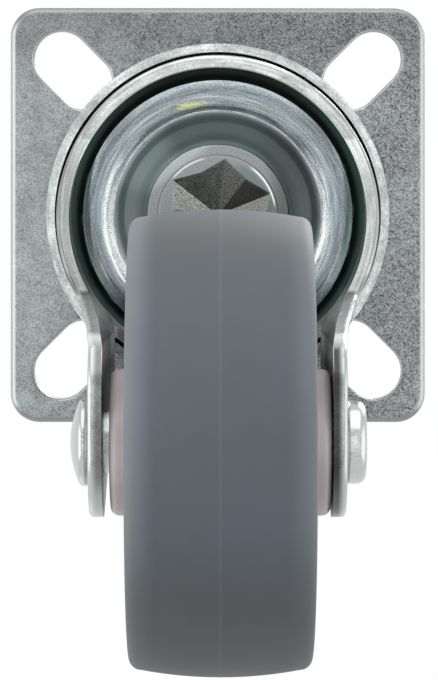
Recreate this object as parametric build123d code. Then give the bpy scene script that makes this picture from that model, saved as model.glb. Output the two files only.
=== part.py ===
from build123d import *
import math
import os

# Swivel castor with a square slotted plate, a double ball-race head and a 50 mm wheel.
# Millimetres, +Z up. The origin is the centre of the plate's top mounting face.
# At rest the wheel trails along +Y and its axle lies along X.

# ---- Driving dimensions -------------------------------------------------------------
# top plate
plate_size = 50.0
plate_thickness = 2.0
plate_corner_radius = 3.5
plate_edge_roll = 0.9
slot_width = 6.6
slot_run = 4.0
slot_edge_margin = 2.85
slot_edge_roll = 0.35

# kingpin, riveted into the plate and staked under the lower cup
pin_radius = 6.0
pin_head_sink = 0.1
pin_land = 0.4
pin_collar_step = 2.0
pin_spigot_step = 1.4
pin_flange_step = 0.4
pin_flange_height = 0.5
pin_flange_round = 0.25
stake_step = 1.25
stake_height = 0.3
stake_edge_round = 0.25
star_points = 6
star_margin = 0.15
star_tip_reach = 1.35
star_depth = 2.4
star_turn = 38.0

# upper race ring, pressed from sheet, with a rim that hides the head
ring_sheet = 1.0
ring_bend_radius = 1.7
ring_groove_depth = 0.35
ring_crown_gap = 0.55
ring_leg_gap = 1.1

# ball sets
upper_ball_diameter = 3.0
lower_ball_diameter = 4.0
pin_ball_gap = 1.2
track_spread = 3.5
ball_spacing_gap = 0.3
lower_ball_turn = 2.3
ball_clearance = 0.05

# fork, drawn from one sheet
fork_sheet = 1.5
fork_bore_clearance = 0.4
fork_crown_land = 1.1
fork_waist_radius = 4.0
fork_skirt_drop = 3.1
fork_skirt_side_drop = 9.7
fork_skirt_step = -9.4
fork_skirt_step_round = 3.0
fork_leg_front = 9.2
fork_leg_front_round = 4.0
fork_leg_front_reach = 11.2
fork_leg_front_corner = 7.0
fork_leg_end_radius = 8.0
fork_leg_rear = 20.0
fork_rim_overlap = 0.5
fork_edge_round = 0.5

# lower race cup, pressed from sheet
cup_sheet = 1.2
cup_fork_gap = 0.3
cup_lip_reach = 1.66
cup_rim_reach = 1.15
cup_rim_round = 1.5
cup_ledge_reach = 1.85
cup_ledge_rise = 0.25
cup_ledge_width = 0.45
cup_ledge_round = 0.4
cup_flank_width = 0.85
cup_flank_round = 0.8
cup_seat_margin = 0.75
cup_floor_round = 0.8

# wheel
wheel_diameter = 50.0
wheel_top_depth = 18.0
trail = 24.4
tread_width = 19.5
tread_thickness = 6.6
tread_crown_radius = 46.0
tread_shoulder_radius = 1.3
tread_side_height = 2.6
rim_inset = 1.45
rim_key_width = 6.0
rim_key_height = 1.6
rim_wall = 2.4
rim_edge_round = 0.5
web_thickness = 5.0
web_round = 1.2
hub_draft = 0.5
hub_reach = 2.0
hub_play = 0.9
hub_end_gap = 0.13
hub_radius = 7.8
hub_edge_round = 0.9

# axle
axle_radius = 2.5
sleeve_wall = 0.75
sleeve_end_clearance = 0.02
dome_head_radius = 4.7
dome_head_height = 2.1
dome_rim_height = 1.2
dome_rim_bulge = 0.45
closed_head_radius = 4.45
closed_head_height = 2.2
closed_head_foot_round = 0.45
closed_head_round = 1.0
dimple_radius = 1.6
dimple_depth = 0.5
dimple_round = 0.8
fit_clearance = 0.05

# ---- Places worked out from the driving dimensions ----------------------------------
plate_under = -plate_thickness
ring_under = plate_under - ring_sheet
slot_outer_x = plate_size / 2 - slot_edge_margin - slot_width / 2

pin_cone_height = plate_thickness - pin_head_sink - pin_land
pin_head_radius = pin_radius + pin_cone_height
pin_bore_radius = pin_radius + fit_clearance
pin_collar_radius = pin_radius + pin_collar_step
pin_spigot_radius = pin_collar_radius - pin_spigot_step
pin_flange_radius = pin_collar_radius + pin_flange_step
stake_radius = pin_flange_radius - stake_step
star_tip_radius = stake_radius - stake_edge_round - star_margin

upper_ball_radius = upper_ball_diameter / 2
lower_ball_radius = lower_ball_diameter / 2
upper_track_radius = upper_ball_radius + ball_clearance
lower_track_radius = lower_ball_radius + ball_clearance
upper_ball_pitch_radius = pin_collar_radius + pin_ball_gap + upper_ball_radius
lower_ball_pitch_radius = upper_ball_pitch_radius + track_spread

# The upper balls sit in the ring's groove. The fork's sheet swings from their track
# into the track of the lower balls, with the two bends tangent to each other.
upper_ball_z = ring_under + ring_groove_depth - upper_track_radius
track_reach = upper_track_radius + lower_track_radius + fork_sheet
lower_ball_z = upper_ball_z - math.sqrt(track_reach**2 - track_spread**2)
track_angle = math.degrees(math.atan2(upper_ball_z - lower_ball_z, track_spread))

crown_bend_inner = lower_track_radius
crown_bend_outer = crown_bend_inner + fork_sheet
crown_bend_centre = lower_ball_pitch_radius + fork_crown_land
crown_radius = crown_bend_centre + crown_bend_outer
crown_inner_radius = crown_radius - fork_sheet
fork_bore_radius = pin_collar_radius + fork_bore_clearance
fork_bore_top = upper_ball_z - upper_track_radius
fork_bore_under = fork_bore_top - fork_sheet
# Behind the crown the legs stand free, below the ring's rim and the crown's own rim.
wall_top_z = lower_ball_z
crown_rim_z = wall_top_z - fork_rim_overlap

ring_inner_radius = crown_radius + ring_crown_gap
ring_radius = ring_inner_radius + ring_sheet
ring_foot_z = wall_top_z + ring_leg_gap

cup_floor_top = fork_bore_under - cup_fork_gap
cup_floor_under = cup_floor_top - cup_sheet
cup_track_outer = lower_track_radius + cup_sheet
cup_track_under = lower_ball_z - cup_track_outer
cup_floor_radius = pin_flange_radius + cup_seat_margin
pin_flange_under = cup_floor_under - pin_flange_height
stake_under = pin_flange_under - stake_height

wheel_radius = wheel_diameter / 2
axle_z = -wheel_top_depth - wheel_radius
rim_radius = wheel_radius - tread_thickness
half_rim = tread_width / 2 - rim_inset
half_hub = tread_width / 2 + hub_reach
wheel_shift = hub_play / 2 - hub_end_gap

leg_inner_x = half_hub + hub_play / 2
leg_outer_x = leg_inner_x + fork_sheet
leg_foot_z = axle_z - fork_leg_end_radius
sleeve_radius = axle_radius + fit_clearance + sleeve_wall

os.makedirs("parts", exist_ok=True)


def write(name, shape):
    export_step(shape, f"parts/{name}.step")


def section(edges):
    """A face in the XZ plane from edges drawn as (radius, height)."""
    return Plane.XZ * make_face(Curve() + edges)


def turned(edges):
    """A solid turned about Z from a closed (radius, height) outline."""
    return revolve(section(edges), Axis.Z)


def arc(centre, radius, start, end):
    """The arc about centre from one angle to another, in degrees."""
    return CenterArc(centre, radius, start, end - start)


def joined(*curves):
    """The curves in order, with straight lines over the gaps, closed."""
    edges = []
    for here, after in zip(curves, curves[1:] + curves[:1]):
        edges.append(here)
        if (here @ 1 - after @ 0).length > 1e-6:
            edges.append(Line(here @ 1, after @ 0))
    return edges


def on_axle(shape):
    """Turns a solid made about Z so that it lies on the wheel's axle, along X."""
    return Pos(0, trail, axle_z) * Rot(0, 90, 0) * shape


# ---- Top plate ----------------------------------------------------------------------
def make_top_plate():
    outline = RectangleRounded(plate_size, plate_size, plate_corner_radius)
    slot_middle = slot_outer_x * math.sqrt(2) - slot_run / 2
    slot = SlotCenterToCenter(slot_run, slot_width)
    slots = [Rot(0, 0, 45 + 90 * k) * Pos(slot_middle, 0) * slot for k in range(4)]
    plate = extrude(outline, -plate_thickness)
    under_edges = plate.faces().sort_by(Axis.Z)[0].edges()
    plate = fillet(under_edges, plate_edge_roll)
    plate -= extrude(Sketch() + slots, -plate_thickness)
    under = plate.faces().sort_by(Axis.Z)[0]
    slot_edges = [edge for wire in under.inner_wires() for edge in wire.edges()]
    plate = fillet(slot_edges, slot_edge_roll)
    cone_foot = -pin_cone_height - pin_head_sink
    bore = turned(
        Polyline(
            (0, 0), (pin_bore_radius - cone_foot, 0), (pin_bore_radius, cone_foot),
            (pin_bore_radius, plate_under), (0, plate_under), close=True,
        ).edges()
    )
    return plate - bore


# ---- Upper race ring ----------------------------------------------------------------
def make_upper_race_ring():
    ring = turned(
        FilletPolyline(
            (pin_bore_radius, plate_under), (ring_radius, plate_under),
            (ring_radius, ring_foot_z), (ring_inner_radius, ring_foot_z),
            (ring_inner_radius, ring_under), (pin_bore_radius, ring_under),
            radius=[0, ring_bend_radius, 0, 0, ring_bend_radius - ring_sheet, 0],
            close=True,
        ).edges()
    )
    groove = Solid.make_torus(
        upper_ball_pitch_radius, upper_track_radius,
        Plane((0, 0, upper_ball_z), z_dir=(0, 0, 1)),
    )
    return ring - groove


# ---- Kingpin ------------------------------------------------------------------------
def make_kingpin():
    head_top = -pin_head_sink
    cone_foot = head_top - pin_cone_height
    body = turned(
        FilletPolyline(
            (0, head_top), (pin_head_radius, head_top), (pin_radius, cone_foot),
            (pin_radius, ring_under), (pin_collar_radius, ring_under),
            (pin_collar_radius, cup_floor_top), (pin_spigot_radius, cup_floor_top),
            (pin_spigot_radius, cup_floor_under), (pin_flange_radius, cup_floor_under),
            (pin_flange_radius, pin_flange_under), (stake_radius, pin_flange_under),
            (stake_radius, stake_under), (0, stake_under),
            radius=[0, 0, 0, 0, 0, 0, 0, 0, 0, pin_flange_round, 0, stake_edge_round, 0],
            close=True,
        ).edges()
    )
    # the staking punch leaves a star whose valleys run from each tip to the middle
    corners = []
    for k in range(2 * star_points):
        reach = star_tip_radius - star_tip_reach * (k % 2)
        angle = math.radians(star_turn + 180 / star_points * k)
        corners.append((reach * math.cos(angle), reach * math.sin(angle)))
    star = Pos(0, 0, stake_under) * make_face(Polyline(*corners, close=True))
    tip = Vertex(0, 0, stake_under + star_depth)
    return body - loft([star.face(), tip], ruled=True)


# ---- Fork ---------------------------------------------------------------------------
def make_fork_crown():
    """The round crown: bore, both ball tracks, and the bend into a short rim."""
    upper_centre = (upper_ball_pitch_radius, upper_ball_z)
    lower_centre = (lower_ball_pitch_radius, lower_ball_z)
    bend_centre = (crown_bend_centre, lower_ball_z)
    swing = -track_angle
    return turned(
        joined(
            arc(upper_centre, upper_track_radius, -90, swing),
            arc(lower_centre, crown_bend_outer, 180 + swing, 90),
            arc(bend_centre, crown_bend_outer, 90, 0),
            Line((crown_radius, crown_rim_z), (crown_inner_radius, crown_rim_z)),
            arc(bend_centre, crown_bend_inner, 0, 90),
            arc(lower_centre, crown_bend_inner, 90, 180 + swing),
            arc(upper_centre, upper_track_radius + fork_sheet, swing, -90),
            Line((fork_bore_radius, fork_bore_under), (fork_bore_radius, fork_bore_top)),
        )
    )


def keyhole(radius, half_width, waist):
    """The round wall run into two straight legs, seen from above."""
    legs_back = trail + 2 * fork_leg_end_radius
    strip = Pos(0, legs_back / 2) * Rectangle(2 * half_width, legs_back)
    outline = Circle(radius) + strip
    turn_y = math.sqrt(radius**2 - half_width**2)
    waists = [v for v in outline.vertices() if abs(v.Y - turn_y) < 0.01]
    return fillet(waists, waist)


def keyhole_column(radius, half_width, waist):
    """The keyhole drawn down from the crown's bend to below the legs' feet."""
    depth = wall_top_z - leg_foot_z + fork_sheet
    return Pos(0, 0, wall_top_z) * extrude(keyhole(radius, half_width, waist), -depth)


def fork_side_profile():
    """What the trimming leaves of the skirt and legs, seen along X."""
    skirt_z = wall_top_z - fork_skirt_drop
    skirt_side_z = wall_top_z - fork_skirt_side_drop
    front = -crown_radius - fork_sheet
    # the rear edge runs down to meet the leg's end, which is round about the axle
    rear_run = trail - fork_leg_rear
    rear_rise = wall_top_z - axle_z
    rear_turn = math.acos(fork_leg_end_radius / math.hypot(rear_run, rear_rise))
    end_turn = math.pi - math.atan2(rear_rise, rear_run) - rear_turn
    leg_corner_y = trail + fork_leg_end_radius * math.tan((math.pi / 2 + end_turn) / 2)
    outline = FilletPolyline(
        (front, wall_top_z), (front, skirt_z), (fork_skirt_step, skirt_z),
        (fork_leg_front, skirt_side_z), (trail - fork_leg_front_reach, leg_foot_z),
        (leg_corner_y, leg_foot_z), (fork_leg_rear, wall_top_z),
        radius=[
            0, 0, fork_skirt_step_round, fork_leg_front_round,
            fork_leg_front_corner, fork_leg_end_radius, 0,
        ],
        close=True,
    )
    profile = Plane.YZ * make_face(outline.edges())
    return extrude(profile, crown_radius + fork_sheet, both=True)


def make_fork():
    outer = keyhole_column(crown_radius, leg_outer_x, fork_waist_radius)
    inner = keyhole_column(crown_inner_radius, leg_inner_x, fork_waist_radius + fork_sheet)
    walls = (outer - inner) & fork_side_profile()
    # the trimming die rolls the outer edge of the skirt and legs over
    skins = [face for face in outer.faces() if abs(face.normal_at().Z) < 0.5]
    trimmed = [
        edge
        for edge in walls.edges()
        if (edge @ 0.5).Z < wall_top_z - fork_edge_round
        and any(face.distance_to(edge @ 0.5) < 0.001 for face in skins)
    ]
    walls = fillet(trimmed, fork_edge_round)
    axle_hole = on_axle(Cylinder(axle_radius + fit_clearance, 4 * leg_outer_x))
    return make_fork_crown() + walls - axle_hole


# ---- Lower race cup -----------------------------------------------------------------
def make_lower_race_cup():
    """A ball track, a narrow ledge and a steep flank round a dished floor."""
    centre = (lower_ball_pitch_radius, lower_ball_z)
    bore_radius = pin_spigot_radius + fit_clearance
    lip_angle = -math.degrees(math.acos(cup_lip_reach / cup_track_outer))
    # the dish rises from the ball track, tangent to it, to the floor's corner
    run = lower_ball_pitch_radius - cup_floor_radius
    rise = cup_floor_top - lower_ball_z
    slope = math.atan2(rise, run) + math.asin(lower_track_radius / math.hypot(run, rise))
    track = arc(centre, lower_track_radius, -90 - math.degrees(slope), lip_angle)
    over = FilletPolyline(
        (bore_radius, cup_floor_top), (cup_floor_radius, cup_floor_top), track @ 0,
        radius=cup_floor_round + cup_sheet,
    )
    # the inner corner of the floor's bend lies on the line that halves the bend
    corner_radius = cup_floor_radius - cup_sheet * math.tan(slope / 2)
    ledge_radius = lower_ball_pitch_radius - cup_ledge_reach
    ledge_z = cup_track_under + cup_ledge_rise
    foot_radius = ledge_radius - cup_ledge_width - cup_flank_width
    foot_z = cup_floor_under - (foot_radius - corner_radius) * math.tan(slope)
    under = FilletPolyline(
        (lower_ball_pitch_radius, cup_track_under),
        (lower_ball_pitch_radius - cup_rim_reach, cup_track_under),
        (ledge_radius, ledge_z), (ledge_radius - cup_ledge_width, ledge_z),
        (foot_radius, foot_z), (corner_radius, cup_floor_under),
        (bore_radius, cup_floor_under),
        radius=[
            cup_rim_round, cup_ledge_round, cup_ledge_round,
            cup_flank_round, cup_floor_round,
        ],
    )
    return turned(joined(arc(centre, cup_track_outer, lip_angle, -90), under, over, track))


# ---- Balls --------------------------------------------------------------------------
def write_balls(name, radius, pitch_radius, height, first_angle):
    """As many balls as the track holds, evenly spaced round it."""
    count = int(2 * math.pi * pitch_radius / (2 * radius + ball_spacing_gap))
    for k in range(count):
        turn = Rot(0, 0, first_angle + 360 / count * k)
        write(f"{name}_{k + 1:02d}", turn * Pos(pitch_radius, 0, height) * Sphere(radius))


# ---- Wheel --------------------------------------------------------------------------
def rim_line(start_z, end_z):
    """The seat between hub and tread, with the key that stops the tread creeping."""
    half_key = math.copysign(rim_key_width / 2, end_z)
    key_radius = rim_radius + rim_key_height
    return Polyline(
        (rim_radius, start_z), (rim_radius, -half_key), (key_radius, -half_key),
        (key_radius, half_key), (rim_radius, half_key), (rim_radius, end_z),
    )


def make_tread():
    half = tread_width / 2
    crown_centre = wheel_radius - tread_crown_radius
    shoulder = crown_centre + math.sqrt(tread_crown_radius**2 - half**2)
    side_foot = shoulder - tread_side_height
    outline = make_face(
        Curve()
        + [
            ThreePointArc((shoulder, -half), (wheel_radius, 0), (shoulder, half)),
            Polyline((shoulder, half), (side_foot, half), (rim_radius, half_rim)),
            rim_line(half_rim, -half_rim),
            Polyline((rim_radius, -half_rim), (side_foot, -half), (shoulder, -half)),
        ]
    )
    shoulders = [v for v in outline.vertices() if abs(v.X - shoulder) < 0.01]
    outline = fillet(shoulders, tread_shoulder_radius)
    return revolve(Plane.XZ * outline, Axis.Z)


def make_hub():
    half_web = web_thickness / 2
    rim_inner = rim_radius - rim_wall
    bore = sleeve_radius + fit_clearance
    side = [
        (rim_radius, half_rim), (rim_inner, half_rim), (rim_inner - hub_draft, half_web),
        (hub_radius + hub_draft, half_web), (hub_radius, half_hub), (bore, half_hub),
    ]
    rounds = [rim_edge_round, web_round, web_round, hub_edge_round]
    upper = FilletPolyline(*side, radius=rounds)
    lower = FilletPolyline(*[(x, -z) for x, z in reversed(side)], radius=rounds[::-1])
    return turned(joined(rim_line(-half_rim, half_rim), upper, lower))


# ---- Axle ---------------------------------------------------------------------------
def make_axle_rivet():
    """Turned about Z with the domed head down, then laid on the axle."""
    seat = leg_outer_x
    dome_top = -seat - dome_head_height
    dome_foot = -seat - dome_rim_height
    cap_radius = dome_head_radius - dome_rim_bulge
    cap_height = dome_foot - dome_top
    ball_radius = (cap_radius**2 + cap_height**2) / (2 * cap_height)
    cap_turn = math.degrees(math.asin(cap_radius / ball_radius))
    cap = arc((0, dome_top + ball_radius), ball_radius, -90, cap_turn - 90)
    cap_rim = ThreePointArc(
        (cap_radius, dome_foot),
        (dome_head_radius, -seat - dome_rim_height / 2),
        (cap_radius, -seat),
    )
    shank = Polyline((cap_radius, -seat), (axle_radius, -seat), (axle_radius, seat))
    closed_top = seat + closed_head_height
    closed_head = FilletPolyline(
        (axle_radius, seat), (closed_head_radius, seat), (closed_head_radius, closed_top),
        (dimple_radius, closed_top), (0, closed_top - dimple_depth),
        radius=[closed_head_foot_round, closed_head_round, dimple_round],
    )
    return on_axle(turned(joined(cap, cap_rim, shank, closed_head)))


def make_axle_sleeve():
    length = 2 * (leg_inner_x - sleeve_end_clearance)
    tube = Cylinder(sleeve_radius, length) - Cylinder(axle_radius + fit_clearance, length)
    return on_axle(tube)


# ---- Write every piece --------------------------------------------------------------
write("top_plate", make_top_plate())
write("upper_race_ring", make_upper_race_ring())
write("kingpin", make_kingpin())
write("lower_race_cup", make_lower_race_cup())
write("fork", make_fork())
write("axle_rivet", make_axle_rivet())
write("axle_sleeve", make_axle_sleeve())
write("tread", Pos(wheel_shift, 0, 0) * on_axle(make_tread()))
write("hub", Pos(wheel_shift, 0, 0) * on_axle(make_hub()))
write_balls("upper_ball", upper_ball_radius, upper_ball_pitch_radius, upper_ball_z, 0)
write_balls(
    "lower_ball", lower_ball_radius, lower_ball_pitch_radius, lower_ball_z,
    -90 - lower_ball_turn,
)
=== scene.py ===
import math

import bpy
from bpy.props import FloatProperty, FloatVectorProperty, IntProperty, PointerProperty
from bpy.types import Operator, Panel, PropertyGroup
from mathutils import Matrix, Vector


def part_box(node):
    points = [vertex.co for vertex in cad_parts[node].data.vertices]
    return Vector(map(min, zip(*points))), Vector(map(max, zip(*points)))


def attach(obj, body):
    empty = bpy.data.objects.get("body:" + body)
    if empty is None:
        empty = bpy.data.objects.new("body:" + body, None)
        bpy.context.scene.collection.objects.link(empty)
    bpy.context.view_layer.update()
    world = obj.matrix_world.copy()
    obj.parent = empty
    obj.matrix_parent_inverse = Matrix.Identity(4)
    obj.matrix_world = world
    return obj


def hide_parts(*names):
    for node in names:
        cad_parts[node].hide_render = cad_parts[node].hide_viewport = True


bl_info = {
    "name": "Swivel castor finish",
    "version": (1, 0, 0),
    "blender": (4, 5, 0),
    "location": "View3D > Sidebar > Castor",
    "description": "Models the tyre and gives every part of a swivel castor its finish",
    "category": "Object",
}

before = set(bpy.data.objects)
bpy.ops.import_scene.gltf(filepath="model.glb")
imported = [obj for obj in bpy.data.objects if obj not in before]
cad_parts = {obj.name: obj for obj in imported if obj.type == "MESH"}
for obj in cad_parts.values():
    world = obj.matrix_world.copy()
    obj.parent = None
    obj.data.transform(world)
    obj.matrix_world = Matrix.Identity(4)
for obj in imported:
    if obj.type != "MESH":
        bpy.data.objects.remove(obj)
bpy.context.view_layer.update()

MM = 0.001

# sizes of the CAD
TREAD_LOW, TREAD_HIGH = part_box("tread")
AXLE = (TREAD_LOW + TREAD_HIGH) / 2
WHEEL_RADIUS = (TREAD_HIGH.z - TREAD_LOW.z) / 2
TREAD_WIDTH = TREAD_HIGH.x - TREAD_LOW.x
HUB_LOW, HUB_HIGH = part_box("hub")
PIN_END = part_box("kingpin")[0].z
PLATE_HALF = 25.0 * MM

# the least distance from the swivel axis that is divided by, and half the width over which
# the looks of the left side give way to those of the right
NEAR_AXIS = 0.001 * MM
SIDE_BLEND = 2.0 * MM

# the plate's tone and grain from left to right, its tone from the front edge inwards, and
# that of its rolled edges at front and back; these tones are painted light and shade
PLATE_TONE = (1.16, 0.94)
PLATE_GRAIN = (0.6, 1.15)
PLATE_FRONT_TONE = (0.68, 1.0)
PLATE_EDGE_TONE = (0.84, 0.50)

# the fork: legs of one sheet with play beside the hub, and the inner wall of its crown
HUB_PLAY = 0.45 * MM
LEG_SHEET = 1.5 * MM
LEG_FACE = (HUB_HIGH.x - HUB_LOW.x) / 2 + HUB_PLAY
CROWN_WALL = 17.35 * MM

# soft edges across the fork's forms, as (none, full) distances behind the swivel axis
FLANK_START = (-14.0 * MM, -4.0 * MM)
CORNER_FRONT, CORNER_BACK = (6.4 * MM, 7.4 * MM), (10.2 * MM, 9.2 * MM)
SLANT_FRONT, SLANT_BACK = (8.0 * MM, 10.0 * MM), (14.6 * MM, 13.0 * MM)
BEND_FRONT, BEND_BACK = (12.8 * MM, 13.4 * MM), (17.0 * MM, 15.0 * MM)
LEG_START = (8.0 * MM, 13.0 * MM)
LEG_FOOT = (27.0 * MM, 30.5 * MM)

# tones of those forms against the plain skin, all painted light and shade, as (left, right)
# where there are two, and the painted light and shade added at the foot, bend, slant and corner
FLANK_TONE = (0.54, 0.74)
LEG_INNER_TONE = (0.34, 0.10)
LEG_OUTER_TONE = (1.0, 0.92)
SLANT_TONE = 0.95
LEG_FOOT_GAIN = 2.2
BEND_GAIN = 1.2
SLANT_HIGHLIGHT = 0.8
CORNER_SHADE = -0.35

# the tyre's mesh: steps of its section, points taken as one, and edges taken as smooth
CROWN_STEPS = 8
SHOULDER_STEPS = 6
WELD_DISTANCE = 1e-7
SMOOTH_ANGLE = math.radians(35)

# the wheel's looks: where its clean patches set in and fade behind the swivel axis, where
# painted shade darkens it too; the painted light on its (left, right) edge and how far in that
# starts; and the painted light on the ends of the hub's bosses
CLEAN_START = (1.0 * MM, 12.0 * MM)
CLEAN_END = (30.0 * MM, 41.0 * MM)
EDGE_LIGHT_TONE = (1.15, 0.70)
EDGE_BAND_FROM = 0.66 * TREAD_WIDTH / 2
BOSS_END = (10.6 * MM, 11.7 * MM)

# the lower race cup: the radii that its zones of colour span, which carry painted light and
# shade, the depths of its grain and turning marks with the share of them left in the bowl, and
# its smear of grease
CUP_ZONES_START = 6.0 * MM
CUP_ZONES_END = 16.0 * MM
BOWL_EDGE = (11.8 * MM, 12.4 * MM)
BOWL_MARKS = 0.1
CUP_GRAIN = 0.34
CUP_STREAKS = 0.32
SMEAR_PLACE = (-3.1 * MM, -12.8 * MM, 0.0)
SMEAR_LENGTH = 2.1 * MM
SMEAR_WIDTH = 0.6 * MM

# the kingpin: its star's turn, points and soft outline, the height of its staked end's looks as
# (none, full), and the (across, back) directions of the painted highlights on its rim
STAR_TURN = math.radians(38.0)
STAR_POINTS = 6
STAR_REACH = (7.0 * MM, 6.8 * MM)
STAKED_HEIGHT = (3.0 * MM, 2.7 * MM)
RIM_RIGHT = (0.85, -0.53)
RIM_LEFT = (-0.53, -0.85)

# area lamps as (name, place, side in metres, watts), all turned to one point of the head
LAMPS = (
    ("Lamp front", (0.0, -0.50, -0.20), 0.65, 1.45),
    ("Lamp left", (-0.45, 0.02, -0.20), 0.50, 0.80),
    ("Lamp right", (0.45, 0.05, -0.16), 0.50, 0.60),
    ("Lamp below", (0.0, 0.0, -0.65), 0.45, 0.25),
    ("Lamp above", (0.25, -0.30, 0.45), 0.35, 2.5),
    ("Lamp rear", (-0.2, 0.45, 0.25), 0.30, 0.08),
)
LAMP_AIM = (0.0, 0.01, -0.03)

# the white world's strength as a light, and the camera's place beside the axis and lens
SKY_LIGHT = 0.35
CAMERA_ASIDE = 0.15 * MM
SENSOR_WIDTH = 36.0
CLIP_START = 0.01


# ---- Settings -----------------------------------------------------------------------
def length(name, description, default, low=0.0, high=1.0):
    """A length in metres with a plain name."""
    return FloatProperty(
        name=name, description=description, default=default, min=low, max=high,
        precision=5, unit="LENGTH", subtype="DISTANCE",
    )


def colour(name, description, default):
    """A linear colour with a plain name."""
    return FloatVectorProperty(
        name=name, description=description, default=default, min=0.0, max=1.0,
        size=3, subtype="COLOR",
    )


class CastorZincSettings(PropertyGroup):
    """Sizes and colours of the zinc plating."""

    plate_colour: colour("Plate", "Zinc on the flat of the top plate", (0.26, 0.275, 0.279))
    fork_colour: colour("Fork", "Zinc on the fork", (0.50, 0.52, 0.51))
    ring_colour: colour("Ring", "Zinc on the upper race ring", (0.49, 0.52, 0.51))
    axle_colour: colour("Axle", "Zinc on the rivet and its sleeve", (0.47, 0.49, 0.485))
    film_colour: colour("Grease film", "Greenish old grease inside the fork", (0.05, 0.066, 0.063))
    # painted light: a light colour lifting the shaded crown wall under the thin film
    lit_thin_film_colour: colour("Thin film", "Grease thin on the crown's wall", (0.62, 0.94, 0.84))
    # painted highlight: the colour of rolled edges, lighter than the plate's flat
    edge_highlight_colour: colour("Edges", "Zinc burnished by the die on rolled edges", (0.50, 0.53, 0.525))
    grain_size: length("Grain", "Width of one zinc grain", 0.15 * MM, 0.01 * MM)
    cloud_size: length("Cloud", "Width of the larger dull patches", 3.5 * MM, 0.1 * MM)


class CastorRaceSettings(PropertyGroup):
    """Colours of the lower race cup, the balls and the kingpin."""

    lip_colour: colour("Cup lip", "Grained outer band of the lower race cup", (0.225, 0.26, 0.28))
    # painted shade: the lip band darker at the cup's sides
    shaded_lip_colour: colour("Cup lip, dull", "The same band at the cup's sides", (0.16, 0.18, 0.20))
    trough_colour: colour("Cup trough", "Turned flat of the lower race cup", (0.235, 0.275, 0.285))
    # painted highlight: bright lines where the cup is bent
    highlight_line_colour: colour("Cup lines", "Bright lines where the cup is bent", (0.31, 0.35, 0.365))
    # painted light: a light colour lifting the shade in the groove outside the ledge
    lit_crease_colour: colour("Cup crease", "Dark groove outside the ledge", (0.56, 0.65, 0.66))
    # painted highlight: crescents at the cup's sides
    crescent_highlight_colour: colour("Cup shine", "Burnished crescents at the cup's sides", (0.80, 0.87, 0.88))
    ledge_colour: colour("Cup ledge", "Narrow flat between bowl and trough", (0.25, 0.29, 0.29))
    # painted shade: the steep wall under the ledge, darkened as a reflection of dark surroundings
    shaded_flank_colour: colour("Cup flank", "Steep wall under the ledge", (0.14, 0.19, 0.184))
    # the bowl's passivation tint, with painted reflection of dark surroundings
    bowl_colour: colour("Cup bowl", "Passivated bowl of the lower race cup", (0.215, 0.27, 0.267))
    # painted shade: the bowl's floor darker next to the pin
    shaded_floor_colour: colour("Cup floor", "Darker floor of the bowl", (0.16, 0.208, 0.203))
    pin_colour: colour("Pin", "Zinc on the staked end of the kingpin", (0.265, 0.29, 0.285))
    stain_colour: colour("Pin stain", "Greasy stain beside the star", (0.13, 0.17, 0.165))
    # painted highlight: arcs on the staked rim
    rim_highlight_colour: colour("Pin rim", "Burnished arcs on the staked rim", (0.85, 0.90, 0.88))
    # facet tones: smooth and torn finish, their dark and light painted shade and light
    facet_dark: colour("Facets, smooth", "Facets that the punch left smooth", (0.075, 0.074, 0.066))
    facet_light: colour("Facets, torn", "Facets that the punch left torn", (0.50, 0.52, 0.48))
    facet_seed: IntProperty(name="Facet seed", description="Deals the facets' tones", default=1)
    ball_colour: colour("Balls", "Greased steel balls", (0.20, 0.20, 0.20))
    grease_colour: colour("Grease", "Yellow-green smear on the cup", (0.52, 0.54, 0.27))


class CastorWheelSettings(PropertyGroup):
    """Sizes and colours of the tyre and hub."""

    tyre_colour: colour("Tyre", "Grey rubber of the tyre", (0.126, 0.150, 0.184))
    dust_colour: colour("Tyre dust", "Worn rubber at the tyre's edges", (0.128, 0.142, 0.151))
    hub_colour: colour("Hub", "Pinkish grey plastic of the hub", (0.68, 0.625, 0.635))
    crown_radius: length("Crown", "Radius of the rounded tread across its width", 46.0 * MM)
    shoulder: length("Shoulder", "Radius between the tread and its side", 1.3 * MM)
    side_height: length("Side", "Height of the flat side under the shoulder", 2.6 * MM)
    rim_radius: length("Rim", "Radius where the tyre meets the hub", 18.4 * MM)
    rim_inset: length("Rim inset", "How far the rim lies in from the tyre's side", 1.45 * MM)
    seam_width: length("Seam", "Width of the mould seam round the tread", 0.22 * MM)
    seam_height: length("Seam height", "Height of the mould seam", 0.01 * MM)
    segments: IntProperty(name="Segments", description="Steps round the tyre", default=240, min=24)


class CastorStudioSettings(PropertyGroup):
    """The camera and floor."""

    camera_depth: length("Camera depth", "Camera's distance below the plate's top", 379.7 * MM)
    focal_mm: FloatProperty(name="Lens", description="Focal length in mm", default=165.97)
    shift: FloatProperty(name="Shift", description="Vertical lens shift", default=-0.1838)
    floor_colour: colour("Floor", "Pale floor under the wheel", (0.85, 0.85, 0.85))
    floor_glow: FloatProperty(name="Floor glow", description="Lifts the floor", default=0.25)
    floor_size: length("Floor size", "Side of the square floor", 6.0, 0.1, 50.0)


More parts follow.
